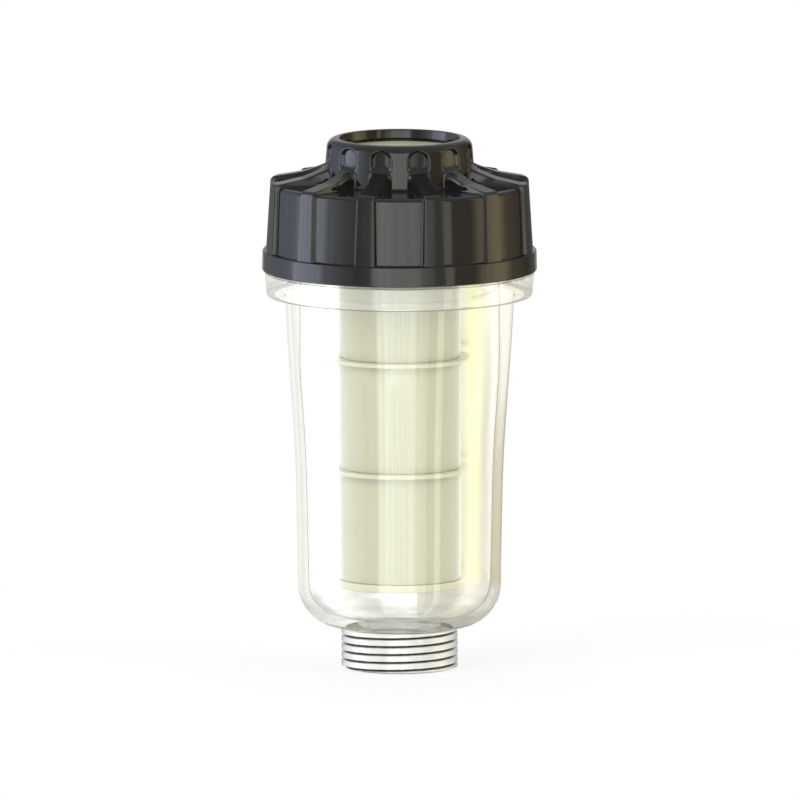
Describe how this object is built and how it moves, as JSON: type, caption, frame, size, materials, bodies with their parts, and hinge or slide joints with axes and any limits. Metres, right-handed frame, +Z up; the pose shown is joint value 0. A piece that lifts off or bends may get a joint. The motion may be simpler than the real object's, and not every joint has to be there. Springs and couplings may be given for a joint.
{
  "type": "inline water filter",
  "caption": "Clear screw-on bowl with a male threaded outlet, a ribbed black screw cap with a female threaded inlet, and a cylindrical screen insert.",
  "frame": {"origin": "middle of the end face of the outlet spigot, which the filter stands on", "axes": "+Z up along the filter's axis, from the outlet to the inlet; -Y towards the viewer of the picture, at a flat panel between two ribs of the cap"},
  "size_m": [0.0626, 0.0626, 0.1216],
  "materials": {
    "clear_plastic": "clear, glossy",
    "black_plastic": "glossy moulded",
    "cream_plastic": "glossy moulded",
    "screen_mesh": "fine woven mesh",
    "seal_rubber": "satin",
    "gasket_rubber": "satin"
  },
  "bodies": {
    "bowl": {"bowl": "clear_plastic", "screen_cage": "cream_plastic", "screen_sleeve_1": "screen_mesh", "screen_sleeve_2": "screen_mesh", "screen_sleeve_3": "screen_mesh", "screen_end_cap": "cream_plastic"},
    "seal": {"cap_seal_ring": "seal_rubber"},
    "cap": {"cap": "black_plastic", "inlet_bush": "cream_plastic", "bush_seal_ring": "seal_rubber", "inlet_gasket": "gasket_rubber"}
  },
  "joints": [
    {"name": "cap_rise", "type": "slide", "parent": "bowl", "child": "seal", "axis": [0, 0, 1], "range_m": [0, 0.008]},
    {"name": "cap_turn", "type": "hinge", "parent": "seal", "child": "cap", "pos_m": [0, 0, 0.1], "axis": [0, 0, 1], "range_deg": [0, 720]}
  ],
  "couplings": [
    {"joint": "cap_rise", "follows": "cap_turn", "m_per_rad": 0.00063662}
  ]
}
